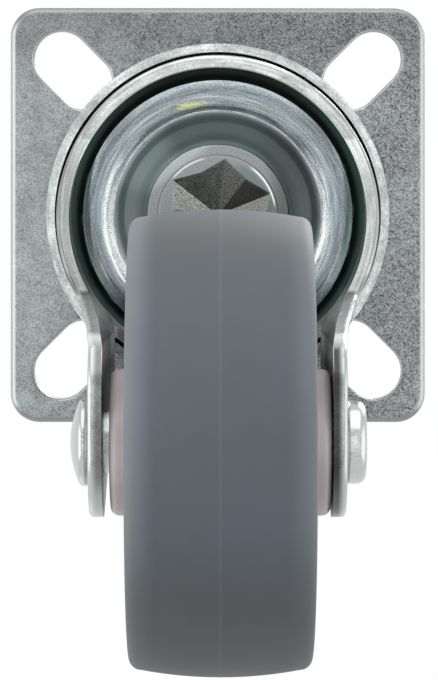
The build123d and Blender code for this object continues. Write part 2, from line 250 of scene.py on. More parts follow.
# ---- Node helpers -------------------------------------------------------------------
class Nodes:
    """Adds nodes to one tree and links them by socket name."""

    def __init__(self, tree):
        self.tree = tree

    def add(self, kind, values=None, **settings):
        node = self.tree.nodes.new(kind)
        for key, value in settings.items():
            setattr(node, key, value)
        for key, value in (values or {}).items():
            if isinstance(value, bpy.types.NodeSocket):
                self.tree.links.new(value, node.inputs[key])
            else:
                node.inputs[key].default_value = value
        return node

    def math(self, operation, first, second=None, third=None, clamp=False):
        values = {0: first}
        if second is not None:
            values[1] = second
        if third is not None:
            values[2] = third
        node = self.add("ShaderNodeMath", values, operation=operation, use_clamp=clamp)
        return node.outputs[0]

    def place(self):
        """The point on the surface, in the object's own coordinates."""
        return self.add("ShaderNodeTexCoord").outputs["Object"]

    def parts(self, vector):
        """A vector's three parts."""
        return self.add("ShaderNodeSeparateXYZ", {0: vector}).outputs

    def feed(self, shader, name, value):
        """Links a value to one socket of the shader."""
        self.tree.links.new(value, shader.inputs[name])

    def noise(self, vector, scale, detail=2.0, roughness=0.5):
        values = {"Vector": vector, "Scale": scale, "Detail": detail, "Roughness": roughness}
        return self.add("ShaderNodeTexNoise", values).outputs["Fac"]

    def voronoi(self, vector, scale):
        """One random value for each crystal."""
        node = self.add("ShaderNodeTexVoronoi", {"Vector": vector, "Scale": scale})
        return self.add("ShaderNodeSeparateColor", {0: node.outputs["Color"]}).outputs[0]

    def scale(self, vector, factor):
        values = {0: vector, "Scale": factor}
        return self.add("ShaderNodeVectorMath", values, operation="SCALE").outputs[0]

    def mix(self, factor, first, second):
        node = self.add("ShaderNodeMix", data_type="RGBA")
        for key, value in ((0, factor), (6, first), (7, second)):
            if isinstance(value, bpy.types.NodeSocket):
                self.tree.links.new(value, node.inputs[key])
            elif isinstance(value, (int, float)):
                node.inputs[key].default_value = value
            else:
                node.inputs[key].default_value = (*value, 1.0)[:4]
        return node.outputs[2]

    def remap(self, value, low, high, to_low=0.0, to_high=1.0, smooth=True):
        kind = "SMOOTHSTEP" if smooth else "LINEAR"
        values = {0: value, 1: low, 2: high, 3: to_low, 4: to_high}
        return self.add("ShaderNodeMapRange", values, interpolation_type=kind).outputs[0]

    def band(self, value, rise, fall):
        """One between two soft edges, each given as (none, full)."""
        return self.math("MULTIPLY", self.remap(value, *rise), self.remap(value, *fall))

    def ramp(self, value, stops):
        node = self.add("ShaderNodeValToRGB", {0: value})
        elements = node.color_ramp.elements
        while len(elements) < len(stops):
            elements.new(0.5)
        for element, (place, tone) in zip(elements, stops):
            element.position = place
            element.color = (*tone, 1.0)
        return node.outputs[0]


def new_group(name, inputs, outputs):
    """An empty node group with named inputs and outputs, and a helper for it."""
    tree = bpy.data.node_groups.new(name, "ShaderNodeTree")
    for socket, kind, default in inputs:
        made = tree.interface.new_socket(socket, in_out="INPUT", socket_type=kind)
        made.default_value = default
    for socket, kind in outputs:
        tree.interface.new_socket(socket, in_out="OUTPUT", socket_type=kind)
    nodes = Nodes(tree)
    source = nodes.add("NodeGroupInput")
    sink = nodes.add("NodeGroupOutput")
    return tree, nodes, source.outputs, sink.inputs


def reach_from_axis(nodes, across, back):
    """Distance from the swivel axis, kept above nought so that it can divide."""
    square = nodes.math("MULTIPLY_ADD", back, back, nodes.math("MULTIPLY", across, across))
    return nodes.math("MAXIMUM", nodes.math("SQRT", square), NEAR_AXIS)


def zinc_group():
    """Electroplated zinc: crystal grain, soft clouds, and a painted highlight on rolled edges."""
    tree, nodes, given, put = new_group(
        "Zinc plating",
        [
            ("Color", "NodeSocketColor", (0.4, 0.4, 0.4, 1.0)),
            ("Edge Color", "NodeSocketColor", (0.6, 0.6, 0.6, 1.0)),
            ("Grain", "NodeSocketFloat", 1.0),
            ("Cloud", "NodeSocketFloat", 1.0),
            ("Grain Scale", "NodeSocketFloat", 6000.0),
            ("Cloud Scale", "NodeSocketFloat", 250.0),
            ("Roughness", "NodeSocketFloat", 0.35),
        ],
        [
            ("Color", "NodeSocketColor"), ("Roughness", "NodeSocketFloat"),
            ("Height", "NodeSocketFloat"),
        ],
    )
    coordinates = nodes.add("ShaderNodeTexCoord").outputs
    place = coordinates["Object"]
    fine = nodes.noise(place, given["Grain Scale"], 2.0, 0.6)
    fine = nodes.remap(fine, 0.34, 0.66, -1.0, 1.0, smooth=False)
    crystal = nodes.voronoi(place, nodes.math("MULTIPLY", given["Grain Scale"], 0.8))
    crystal = nodes.math("MULTIPLY_ADD", crystal, 2.0, -1.0)
    grain = nodes.math("MULTIPLY_ADD", crystal, 0.6, nodes.math("MULTIPLY", fine, 0.7))
    cloud = nodes.noise(place, given["Cloud Scale"], 4.0, 0.68)
    cloud = nodes.remap(cloud, 0.3, 0.7, -1.0, 1.0, smooth=False)
    grain_part = nodes.math("MULTIPLY", grain, given["Grain"])
    cloud_part = nodes.math("MULTIPLY", cloud, given["Cloud"])
    shade = nodes.math("MULTIPLY_ADD", grain_part, 0.62, 1.0)
    shade = nodes.math("MULTIPLY_ADD", cloud_part, 0.18, shade)
    flat_tone = nodes.scale(given["Color"], shade)
    # a rolled edge is neither flat nor upright; its edge colour is a painted highlight
    upright = nodes.math("ABSOLUTE", nodes.parts(coordinates["Normal"])[2])
    rolled = nodes.band(upright, (0.99, 0.90), (0.02, 0.35))
    edge_shade = nodes.math("MULTIPLY_ADD", grain_part, 0.10, 1.0)
    tone = nodes.mix(rolled, flat_tone, nodes.scale(given["Edge Color"], edge_shade))
    rough = nodes.math("MULTIPLY_ADD", grain_part, 0.07, given["Roughness"])
    rough = nodes.math("MULTIPLY_ADD", rolled, -0.08, rough)
    rough = nodes.math("MULTIPLY_ADD", cloud_part, -0.04, rough, clamp=True)
    tree.links.new(tone, put["Color"])
    tree.links.new(rough, put["Roughness"])
    tree.links.new(grain_part, put["Height"])
    return tree


def polar_group():
    """Radius from the swivel axis, a streak that runs round it, and where round it a point lies."""
    tree, nodes, given, put = new_group(
        "Turned streaks",
        [("Streak Scale", "NodeSocketFloat", 4000.0), ("Arc Scale", "NodeSocketFloat", 4.0)],
        [(name, "NodeSocketFloat") for name in ("Radius", "Streak", "Aside", "Lit", "Back")],
    )
    across, back, _ = nodes.parts(nodes.place())
    radius = reach_from_axis(nodes, across, back)
    east = nodes.math("DIVIDE", across, radius)
    north = nodes.math("DIVIDE", back, radius)
    around = nodes.add(
        "ShaderNodeCombineXYZ",
        {
            0: nodes.math("MULTIPLY", east, given["Arc Scale"]),
            1: nodes.math("MULTIPLY", north, given["Arc Scale"]),
            2: nodes.math("MULTIPLY", radius, given["Streak Scale"]),
        },
    ).outputs[0]
    streak = nodes.remap(nodes.noise(around, 1.0), 0.3, 0.7, -1.0, 1.0, smooth=False)
    # the painted light on the head comes from the front left
    lit = nodes.math("MULTIPLY_ADD", north, -0.6, nodes.math("MULTIPLY", east, -0.8))
    made = (
        ("Radius", radius), ("Streak", streak), ("Aside", nodes.math("ABSOLUTE", east)),
        ("Lit", lit), ("Back", north),
    )
    for name, value in made:
        tree.links.new(value, put[name])
    return tree


def new_material(name):
    """A material with only a Principled shader, its helper and that shader."""
    material = bpy.data.materials.new(name)
    material.use_nodes = True
    tree = material.node_tree
    tree.nodes.clear()
    nodes = Nodes(tree)
    shader = nodes.add("ShaderNodeBsdfPrincipled")
    sink = nodes.add("ShaderNodeOutputMaterial")
    tree.links.new(shader.outputs[0], sink.inputs["Surface"])
    return material, nodes, shader


def bump(nodes, shader, height, distance):
    """Feeds a height through a Bump node into the shader's normal."""
    node = nodes.add("ShaderNodeBump", {"Height": height, "Distance": distance})
    nodes.feed(shader, "Normal", node.outputs[0])


def group_node(nodes, group, values):
    """Adds a node group, sets or links its inputs and returns its outputs."""
    return nodes.add("ShaderNodeGroup", values, node_tree=group).outputs


def shared(name, maker):
    """The node group of that name, made the first time it is asked for."""
    return bpy.data.node_groups.get(name) or maker()


def zinc_material(name, tone, grain, cloud, roughness, bump_height, tones_by_place=None, film=None):
    """A zinc-plated sheet or turned piece; tones given by place paint marks, light and shade on
    its skin, and a film covers it.
    """
    zinc = bpy.context.scene.castor_zinc
    material, nodes, shader = new_material(name)
    tones = [(*tone, 1.0), (*zinc.edge_highlight_colour, 1.0)]
    if tones_by_place:
        across, back, up = nodes.parts(nodes.place())
        shares = tones_by_place(nodes, across, back)
        tones = [nodes.scale(full[:3], share) for full, share in zip(tones, shares)]
    out = group_node(
        nodes,
        shared("Zinc plating", zinc_group),
        {
            "Color": tones[0], "Edge Color": tones[1], "Roughness": roughness,
            "Grain": grain(nodes, across) if callable(grain) else grain,
            "Grain Scale": 1.0 / zinc.grain_size,
            "Cloud": cloud, "Cloud Scale": 1.0 / zinc.cloud_size,
        },
    )
    skin = out["Color"]
    shader.inputs["Metallic"].default_value = 1.0
    if film:
        coat, covered, metal = film(nodes, across, back, up)
        skin = nodes.mix(covered, skin, coat)
        nodes.feed(shader, "Metallic", metal)
    nodes.feed(shader, "Base Color", skin)
    nodes.feed(shader, "Roughness", out["Roughness"])
    bump(nodes, shader, out["Height"], bump_height)
    return material


def turning_marks(nodes, depth):
    """A tone near one that varies in streaks round the swivel axis."""
    polar = group_node(nodes, shared("Turned streaks", polar_group), {"Streak Scale": 3000.0})
    return nodes.math("MULTIPLY_ADD", polar["Streak"], depth, 1.0)


def each_side(nodes, across, left, right):
    """One value left of the middle and another right of it."""
    return nodes.remap(across, -SIDE_BLEND, SIDE_BLEND, left, right)


def plate_grain(nodes, across):
    """The plate's crystals show less on its bright left side."""
    return nodes.remap(across, -PLATE_HALF, 8.0 * MM, *PLATE_GRAIN)


def plate_light_and_shade(nodes, across, back):
    """Painted shade: darker on the plate's right and front, and its front and back edges most."""
    flat = nodes.remap(across, -PLATE_HALF, PLATE_HALF, *PLATE_TONE, smooth=False)
    front = (1.0 * MM - PLATE_HALF, 13.0 * MM - PLATE_HALF)
    flat = nodes.math("MULTIPLY", flat, nodes.remap(back, *front, *PLATE_FRONT_TONE))
    rolled = (PLATE_HALF - 2.5 * MM, PLATE_HALF - 1.0 * MM)
    edge = nodes.remap(nodes.math("ABSOLUTE", back), *rolled, *PLATE_EDGE_TONE)
    return flat, edge


def ring_wear(nodes, across, back):
    """Fine marks of the die run round the ring."""
    marks = turning_marks(nodes, 0.20)
    return marks, marks


def slanted_edge(nodes, back):
    """One on the slanted edge between skirt and leg."""
    return nodes.band(back, SLANT_FRONT, SLANT_BACK)


def inner_bend(nodes, across, back):
    """One on the inner side of each leg where it leaves the crown."""
    aside = nodes.math("ABSOLUTE", across)
    inner = nodes.remap(aside, LEG_FACE + 0.08 * MM, LEG_FACE + 0.02 * MM)
    return nodes.math("MULTIPLY", inner, nodes.band(back, BEND_FRONT, BEND_BACK))


def crown_grease_and_light(nodes, across, back, up):
    """The film's colour, where it covers, and how metallic the skin is.

    Old grease coats the inside of the crown, lifted by painted light on the crown's wall;
    the waist over each leg is burnished satin.
    """
    zinc = bpy.context.scene.castor_zinc
    reach = reach_from_axis(nodes, across, back)
    inside = nodes.remap(reach, CROWN_WALL + 0.25 * MM, CROWN_WALL - 0.05 * MM)
    covered = nodes.math("MULTIPLY", inside, nodes.remap(up, -12.4 * MM, -11.8 * MM))
    # on the wall the film is thin and lifted to a light colour by painted light, except at the
    # front
    thin = nodes.remap(reach, CROWN_WALL - 0.85 * MM, CROWN_WALL + 0.05 * MM)
    thin = nodes.math("MULTIPLY", thin, nodes.remap(back, -17.0 * MM, -8.0 * MM, 0.25, 1.0))
    coat = nodes.mix(thin, tuple(zinc.film_colour), tuple(zinc.lit_thin_film_colour))
    waist = nodes.math("MAXIMUM", slanted_edge(nodes, back), inner_bend(nodes, across, back))
    metal = nodes.math("MULTIPLY_ADD", covered, -0.8, 1.0)
    metal = nodes.math("SUBTRACT", metal, nodes.math("MULTIPLY", waist, 0.65), clamp=True)
    return coat, covered, metal


def fork_light_and_shade(nodes, across, back):
    """Painted light and shade: brightest at the crown's front; legs light outside, dark inside."""
    flank = nodes.remap(across, -10.0 * MM, 10.0 * MM, *FLANK_TONE)
    skirt = nodes.mix(nodes.remap(back, *FLANK_START), (1.0, 1.0, 1.0), flank)
    skirt = nodes.math("MULTIPLY", skirt, turning_marks(nodes, 0.24))
    aside = nodes.math("ABSOLUTE", across)
    outside = nodes.remap(aside, LEG_FACE - 0.6 * MM, LEG_FACE)
    on_leg = nodes.math("MULTIPLY", outside, nodes.remap(back, *LEG_START))
    inner = each_side(nodes, across, *LEG_INNER_TONE)
    inner = nodes.math("MULTIPLY", inner, nodes.remap(back, *LEG_FOOT, 1.0, LEG_FOOT_GAIN))
    outer = each_side(nodes, across, *LEG_OUTER_TONE)
    leg = nodes.remap(
        aside, LEG_FACE + 0.3 * LEG_SHEET, LEG_FACE + 0.85 * LEG_SHEET, inner, outer,
    )
    leg = nodes.math("MULTIPLY_ADD", inner_bend(nodes, across, back), BEND_GAIN, leg)
    # painted highlight on the slanted edge between skirt and leg, and painted shade on the corner
    # before it
    slanted = slanted_edge(nodes, back)
    # the painted light and shade of skirt and legs
    dull = nodes.mix(on_leg, skirt, leg)
    dull = nodes.math("MAXIMUM", dull, nodes.math("MULTIPLY", slanted, SLANT_TONE))
    burnished = nodes.math("MULTIPLY_ADD", slanted, SLANT_HIGHLIGHT, 1.0)
    corner = nodes.band(back, CORNER_FRONT, CORNER_BACK)
    burnished = nodes.math("MULTIPLY_ADD", corner, CORNER_SHADE, burnished)
    return dull, nodes.math("MULTIPLY", dull, burnished)


def finish_node(name, material):
    """Gives a CAD node its finish."""
    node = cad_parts[name]
    node.data.materials.clear()
    node.data.materials.append(material)


# ---- Tyre ---------------------------------------------------------------------------
def tyre_half_profile(wheel):
    """(radius, half width) points from the middle of the tread down to the rim."""
    half = TREAD_WIDTH / 2
    centre = WHEEL_RADIUS - wheel.crown_radius
    seam = wheel.seam_width / 2

    def crown(width):
        return centre + math.sqrt(wheel.crown_radius**2 - width**2)

    points = [(WHEEL_RADIUS + wheel.seam_height, 0.0), (crown(seam), seam)]
    round_start = half - wheel.shoulder
    for step in range(1, CROWN_STEPS + 1):
        width = seam + (round_start - seam) * step / CROWN_STEPS
        points.append((crown(width), width))
    edge = crown(round_start)
    for step in range(1, SHOULDER_STEPS + 1):
        turn = math.pi / 2 * step / SHOULDER_STEPS
        radius = edge - wheel.shoulder * (1 - math.cos(turn))
        points.append((radius, round_start + wheel.shoulder * math.sin(turn)))
    points.append((edge - wheel.shoulder - wheel.side_height, half))
    points.append((wheel.rim_radius, half - wheel.rim_inset))
    return points


class CASTOR_OT_tyre(Operator):
    """Models the rubber tyre with its crown, shoulders and mould seam"""

    bl_idname = "castor.tyre"
    bl_label = "Tyre"

    def execute(self, context):
        wheel = context.scene.castor_wheel
        bpy.ops.object.select_all(action="DESELECT")
        half = tyre_half_profile(wheel)
        section = [(radius, -width) for radius, width in reversed(half)] + half[1:]
        start_radius, start_width = section[0]
        bpy.ops.mesh.primitive_circle_add(
            vertices=wheel.segments, radius=start_radius, fill_type="NOTHING",
            location=(0.0, 0.0, start_width),
        )
        tyre = context.active_object
        tyre.name = "tyre"
        bpy.ops.object.mode_set(mode="EDIT")
        bpy.ops.mesh.select_all(action="SELECT")
        for (radius, width), (last_radius, last_width) in zip(section[1:], section):
            bpy.ops.mesh.extrude_region_move(
                TRANSFORM_OT_translate={"value": (0.0, 0.0, width - last_width)}
            )
            grow = radius / last_radius
            bpy.ops.transform.resize(
                value=(grow, grow, 1.0), center_override=(0.0, 0.0, 0.0),
            )
        bpy.ops.object.mode_set(mode="OBJECT")
        place_on_axle(tyre)
        finish_piece(tyre, tyre_material(wheel), "wheel")
        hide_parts("tread")
        return {"FINISHED"}


def place_on_axle(piece):
    """Turns a piece made about Z to lie along the axle, and applies its place."""
    bpy.ops.object.select_all(action="DESELECT")
    piece.select_set(True)
    bpy.context.view_layer.objects.active = piece
    piece.location = (AXLE.x + piece.location.z, AXLE.y, AXLE.z)
    piece.rotation_euler = (0.0, math.radians(90), 0.0)
    bpy.ops.object.transform_apply(location=True, rotation=True, scale=True)


def finish_piece(piece, material, body):
    """Smooths a modelled piece, welds its mesh and gives it its finish and body."""
    bpy.ops.object.select_all(action="DESELECT")
    piece.select_set(True)
    bpy.context.view_layer.objects.active = piece
    bpy.ops.object.mode_set(mode="EDIT")
    bpy.ops.mesh.select_all(action="SELECT")
    bpy.ops.mesh.remove_doubles(threshold=WELD_DISTANCE)
    bpy.ops.mesh.normals_make_consistent(inside=False)
    bpy.ops.object.mode_set(mode="OBJECT")
    bpy.ops.object.shade_smooth_by_angle(angle=SMOOTH_ANGLE)
    piece.data.materials.clear()
    piece.data.materials.append(material)
    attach(piece, body)


def tyre_material(wheel):
    """Satin grey rubber with moulding haze, a pale seam and dust colour off its clean patches.

    Its edges carry painted light, and painted shade darkens it towards the back.
    """
    material, nodes, shader = new_material("Tyre rubber")
    place = nodes.place()
    haze = nodes.noise(place, 120.0, 3.0, 0.5)
    fine = nodes.noise(place, 9000.0, 2.0, 0.6)
    across, back, _ = nodes.parts(place)
    offset = nodes.math("SUBTRACT", across, AXLE.x)
    aside = nodes.math("ABSOLUTE", offset)
    # painted light and shade: the edges lighter, most on the left and less towards the back, and
    # the whole tread darker towards the back
    behind = nodes.remap(back, *CLEAN_END)
    dust = each_side(nodes, offset, *EDGE_LIGHT_TONE)
    dust = nodes.math("MULTIPLY", dust, nodes.math("MULTIPLY_ADD", behind, -0.6, 1.0))
    worn = nodes.remap(aside, EDGE_BAND_FROM, TREAD_WIDTH / 2)
    tread_light_and_shade = nodes.math("MULTIPLY_ADD", behind, -0.14, 1.0)
    tread_light_and_shade = nodes.math("MULTIPLY_ADD", worn, dust, tread_light_and_shade)
    shade = nodes.math("MULTIPLY", nodes.remap(haze, 0.3, 0.7, 0.95, 1.06), tread_light_and_shade)
    # bluish clean rubber shows in patches along the middle
    clean = nodes.math("SUBTRACT", 1.0, behind)
    clean = nodes.math("MULTIPLY", nodes.math("SUBTRACT", 1.0, worn), clean)
    clean = nodes.math("MULTIPLY", clean, nodes.remap(back, *CLEAN_START))
    patches = nodes.remap(nodes.noise(place, 55.0), 0.35, 0.60, 0.35, 1.0)
    clean = nodes.math("MULTIPLY", clean, patches)
    rubber = nodes.mix(clean, tuple(wheel.dust_colour), tuple(wheel.tyre_colour))
    seam = nodes.remap(aside, 0.5 * wheel.seam_width, wheel.seam_width, 1.15, 1.0)
    tone = nodes.scale(rubber, nodes.math("MULTIPLY", shade, seam))
    nodes.feed(shader, "Base Color", tone)
    nodes.feed(shader, "Roughness", nodes.remap(haze, 0.3, 0.7, 0.62, 0.70))
    bump(nodes, shader, fine, 0.002 * MM)
    return material


class CASTOR_OT_hub(Operator):
    """Gives the moulded hub its pinkish plastic"""

    bl_idname = "castor.hub"
    bl_label = "Hub"

    def execute(self, context):
        material, nodes, shader = new_material("Hub plastic")
        place = nodes.place()
        cloud = nodes.noise(place, 200.0, 3.0, 0.5)
        fine = nodes.noise(place, 5000.0, 2.0, 0.5)
        dark, light = (
            [part * share for part in context.scene.castor_wheel.hub_colour]
            for share in (0.92, 1.06)
        )
        tone = nodes.mix(nodes.remap(cloud, 0.3, 0.7), dark, light)
        # painted light on the bosses' ends, which are lighter
        aside = nodes.math("ABSOLUTE", nodes.math("SUBTRACT", nodes.parts(place)[0], AXLE.x))
        tone = nodes.scale(tone, nodes.remap(aside, *BOSS_END, 1.0, 1.25))
        nodes.feed(shader, "Base Color", tone)
        nodes.feed(shader, "Roughness", nodes.remap(fine, 0.3, 0.7, 0.38, 0.5))
        bump(nodes, shader, fine, 0.003 * MM)
        finish_node("hub", material)
        return {"FINISHED"}


# ---- Sheet metal --------------------------------------------------------------------
class CASTOR_OT_zinc(Operator):
    """Gives the plate, ring, fork, rivet and sleeve their zinc plating"""

    bl_idname = "castor.zinc"
    bl_label = "Zinc-plated parts"

    def execute(self, context):
        zinc = context.scene.castor_zinc
        plate = zinc_material(
            "Plate zinc", zinc.plate_colour, plate_grain, 1.0, 0.40, 0.008 * MM, plate_light_and_shade,
        )
        ring = zinc_material(
            "Ring zinc", zinc.ring_colour, 0.45, 1.5, 0.32, 0.003 * MM, ring_wear,
        )
        fork = zinc_material(
            "Fork zinc", zinc.fork_colour, 0.35, 1.3, 0.30, 0.003 * MM, fork_light_and_shade,
            crown_grease_and_light,
        )
        axle = zinc_material("Axle zinc", zinc.axle_colour, 0.5, 0.6, 0.26, 0.003 * MM)
        finish_node("top_plate", plate)
        finish_node("upper_race_ring", ring)
        finish_node("fork", fork)
        finish_node("axle_rivet", axle)
        finish_node("axle_sleeve", axle)
        return {"FINISHED"}


class CASTOR_OT_race(Operator):
    """Gives the lower race cup and the balls their finish"""

    bl_idname = "castor.race"
    bl_label = "Race cup and balls"

    def execute(self, context):
        race = context.scene.castor_race
        finish_node("lower_race_cup", cup_material(race))
        balls = ball_material(race)
        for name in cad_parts:
            if "_ball_" in name:
                finish_node(name, balls)
        return {"FINISHED"}


def cup_zones(race):
    """(radius in mm, colour) stops over the cup, front then sides, painted with light and shade."""
    bowl = [
        (8.8, race.shaded_floor_colour), (9.4, race.shaded_floor_colour), (9.9, race.bowl_colour),
        (10.8, race.bowl_colour), (11.1, race.shaded_flank_colour), (11.45, race.shaded_flank_colour),
        (11.8, race.bowl_colour),
    ]
    front = [
        (11.98, race.ledge_colour), (12.22, race.ledge_colour),
        (12.4, race.lit_crease_colour), (12.65, race.lit_crease_colour),
        (13.1, race.trough_colour), (13.75, race.trough_colour),
        (13.9, race.highlight_line_colour), (14.05, race.highlight_line_colour),
        (14.25, race.lip_colour), (15.2, race.lip_colour), (15.6, race.trough_colour),
    ]
    side = [
        (11.98, race.highlight_line_colour), (12.22, race.highlight_line_colour),
        (12.4, race.crescent_highlight_colour), (13.0, race.crescent_highlight_colour), (13.4, race.highlight_line_colour),
        (13.95, race.trough_colour), (14.15, race.shaded_lip_colour),
        (14.75, race.shaded_lip_colour), (14.95, race.crescent_highlight_colour),
    ]
    return bowl + front, bowl + side


def cup_tone(nodes, race, polar, across):
    """The zones' colours, with painted highlight crescents at the cup's sides."""
    span = CUP_ZONES_END - CUP_ZONES_START
    radius = nodes.remap(polar["Radius"], CUP_ZONES_START, CUP_ZONES_END, smooth=False)
    # the left crescent lies a little further out
    shift = nodes.remap(across, -8.5 * MM, -12.0 * MM, 0.0, 0.3 * MM / span)
    crescent = nodes.band(polar["Radius"], (12.6 * MM, 13.0 * MM), (14.0 * MM, 13.6 * MM))
    shifted = nodes.math("SUBTRACT", radius, nodes.math("MULTIPLY", crescent, shift))
    front, side = (
        nodes.ramp(at, [((stop * MM - CUP_ZONES_START) / span, tone) for stop, tone in zones])
        for at, zones in zip((radius, shifted), cup_zones(race))
    )
    # the painted crescents are longest in the crease and reach further round at the back, where
    # the sides are lighter
    beyond = nodes.math("SUBTRACT", 12.5 * MM, polar["Radius"])
    beyond = nodes.math("MULTIPLY_ADD", beyond, 0.12 / MM, polar["Aside"])
    rear = nodes.remap(polar["Back"], 0.05, 0.5, smooth=False)
    beyond = nodes.math("MULTIPLY_ADD", rear, 0.3, beyond)
    side = nodes.scale(side, nodes.math("MULTIPLY_ADD", rear, 0.22, 1.0))
    return nodes.mix(nodes.remap(beyond, 0.70, 0.94), front, side)


def bowl_light(nodes, polar, across):
    """Painted light on the bowl: darkest on its right and lightest towards the front left."""
    left = nodes.remap(across, -10.0 * MM, -3.0 * MM, 0.82, 1.0)
    right = nodes.remap(across, 2.0 * MM, 10.0 * MM, 1.0, 0.42)
    light = nodes.math("MULTIPLY", left, right)
    return nodes.math("MULTIPLY", light, nodes.remap(polar["Lit"], 0.90, 1.0, 1.0, 1.7))


def cup_material(race):
    """Pressed sheet: grained lip, turned trough, narrow ledge and dark passivated bowl.

    Its zones hold painted highlights, shade and reflection, and the bowl painted light.
    """
    material, nodes, shader = new_material("Race cup")
    polar = group_node(nodes, shared("Turned streaks", polar_group), {})
    place = nodes.place()
    across = nodes.parts(place)[0]
    # outside the bowl the sheet keeps the die's grain and turning marks
    outer = nodes.remap(polar["Radius"], *BOWL_EDGE)
    marks = nodes.math("MULTIPLY_ADD", outer, 1.0 - BOWL_MARKS, BOWL_MARKS)
    grain = nodes.noise(place, 6000.0, 2.0, 0.6)
    grain = nodes.remap(grain, 0.3, 0.7, -1.0, 1.0, smooth=False)
    shade = nodes.math("MULTIPLY", nodes.math("MULTIPLY", grain, CUP_GRAIN), marks)
    streak = nodes.math("MULTIPLY", polar["Streak"], CUP_STREAKS)
    shade = nodes.math("MULTIPLY_ADD", streak, marks, shade)
    tone = nodes.scale(cup_tone(nodes, race, polar, across), nodes.math("ADD", shade, 1.0))
    light = nodes.mix(outer, bowl_light(nodes, polar, across), (1.0, 1.0, 1.0))
    tone = nodes.mix(grease_mask(nodes, place), nodes.scale(tone, light), race.grease_colour)
    nodes.feed(shader, "Base Color", tone)
    # the passivation lies in a satin film on the bowl
    rough = nodes.remap(outer, 0.0, 1.0, 0.48, 0.24)
    nodes.feed(shader, "Roughness", nodes.math("MULTIPLY_ADD", polar["Streak"], 0.04, rough))
    nodes.feed(shader, "Metallic", nodes.remap(outer, 0.0, 1.0, 0.45, 1.0))
    bump(nodes, shader, nodes.math("MULTIPLY", polar["Streak"], marks), 0.004 * MM)
    return material


def grease_mask(nodes, place):
    """A streaky smear, longest along the cup's trough."""
    offset = nodes.add(
        "ShaderNodeVectorMath", {0: place, 1: SMEAR_PLACE}, operation="SUBTRACT",
    ).outputs[0]
    aside, behind, _ = nodes.parts(offset)
    across = nodes.math("DIVIDE", aside, SMEAR_LENGTH)
    down = nodes.math("DIVIDE", nodes.math("MULTIPLY_ADD", aside, 0.10, behind), SMEAR_WIDTH)
    reach = nodes.math("MULTIPLY_ADD", down, down, nodes.math("MULTIPLY", across, across))
    drawn_out = nodes.add(
        "ShaderNodeVectorMath", {0: place, 1: (0.35, 1.5, 1.0)}, operation="MULTIPLY",
    ).outputs[0]
    ragged = nodes.noise(drawn_out, 2600.0, 3.0, 0.6)
    reach = nodes.math("ADD", reach, nodes.math("MULTIPLY_ADD", ragged, 4.0, -1.9))
    return nodes.math("MULTIPLY", nodes.remap(reach, 1.1, 0.3), 0.75)


def ball_material(race):
    """Polished steel under a film of grease."""
    material, nodes, shader = new_material("Greased balls")
    film = nodes.remap(nodes.noise(nodes.place(), 900.0), 0.4, 0.65)
    dark_grease = [part * 0.4 for part in race.grease_colour]
    nodes.feed(shader, "Base Color", nodes.mix(film, race.ball_colour, dark_grease))
    nodes.feed(shader, "Roughness", nodes.remap(film, 0.0, 1.0, 0.15, 0.45))
    shader.inputs["Metallic"].default_value = 1.0
    return material


class CASTOR_OT_kingpin(Operator):
    """Gives the kingpin its zinc and its punched star"""

    bl_idname = "castor.kingpin"
    bl_label = "Kingpin"

    def execute(self, context):
        finish_node("kingpin", pin_material(context.scene.castor_race))
        return {"FINISHED"}


def star_facets(nodes, race, grain, across, back):
    """Each star facet is dealt a smooth or torn tone, with painted shade and light."""
    turn = nodes.math("SUBTRACT", nodes.math("ARCTAN2", back, across), STAR_TURN)
    facet = nodes.math("FLOOR", nodes.math("DIVIDE", turn, math.pi / STAR_POINTS))
    seeded = nodes.math("ADD", facet, 100.0 * race.facet_seed)
    dealt = nodes.add("ShaderNodeTexWhiteNoise", {"W": seeded}, noise_dimensions="1D")
    torn = nodes.mix(grain, race.facet_dark, race.facet_light)
    faint = nodes.math("MULTIPLY", grain, 0.08)
    smooth = nodes.mix(faint, race.facet_dark, race.facet_light)
    return nodes.mix(dealt.outputs["Value"], smooth, torn)


def facing(nodes, across, back, reach, way):
    """Cosine between a point's direction from the swivel axis and a given one."""
    along = nodes.math("MULTIPLY", across, way[0])
    along = nodes.math("MULTIPLY_ADD", back, way[1], along)
    return nodes.math("DIVIDE", along, reach)


def pin_skin(nodes, race, grain, staked, across, back, reach):
    """Zinc stained right of the star; painted light and two painted highlight arcs on its rim."""
    # the zinc is darker on its right
    dull = nodes.remap(across, 5.0 * MM, 8.0 * MM, 1.0, 0.50)
    # painted light: the rim lighter towards the front left
    toward = nodes.math("MULTIPLY_ADD", back, -0.8, nodes.math("MULTIPLY", across, -0.6))
    shade = nodes.math("MULTIPLY", nodes.math("MULTIPLY_ADD", grain, 0.4, 0.8), dull)
    shade = nodes.math("MULTIPLY", shade, nodes.remap(toward, 6.4 * MM, 7.8 * MM, 1.0, 1.5))
    skin = nodes.scale(tuple(race.pin_colour), shade)
    right = facing(nodes, across, back, reach, RIM_RIGHT)
    left = facing(nodes, across, back, reach, RIM_LEFT)
    stain = nodes.remap(right, 0.72, 0.90, 0.0, 0.6)
    stain = nodes.math("MULTIPLY", stain, nodes.remap(reach, 6.6 * MM, 6.4 * MM))
    skin = nodes.mix(nodes.math("MULTIPLY", stain, staked), skin, race.stain_colour)
    arc = nodes.remap(left, 0.93, 0.98, 0.0, 0.6)
    arc = nodes.math("MAXIMUM", nodes.remap(right, 0.90, 0.97), arc)
    rim = nodes.band(reach, (6.68 * MM, 6.78 * MM), (6.96 * MM, 6.88 * MM))
    lit = nodes.math("MULTIPLY", nodes.math("MULTIPLY", arc, staked), rim)
    return nodes.mix(lit, skin, race.rim_highlight_colour)


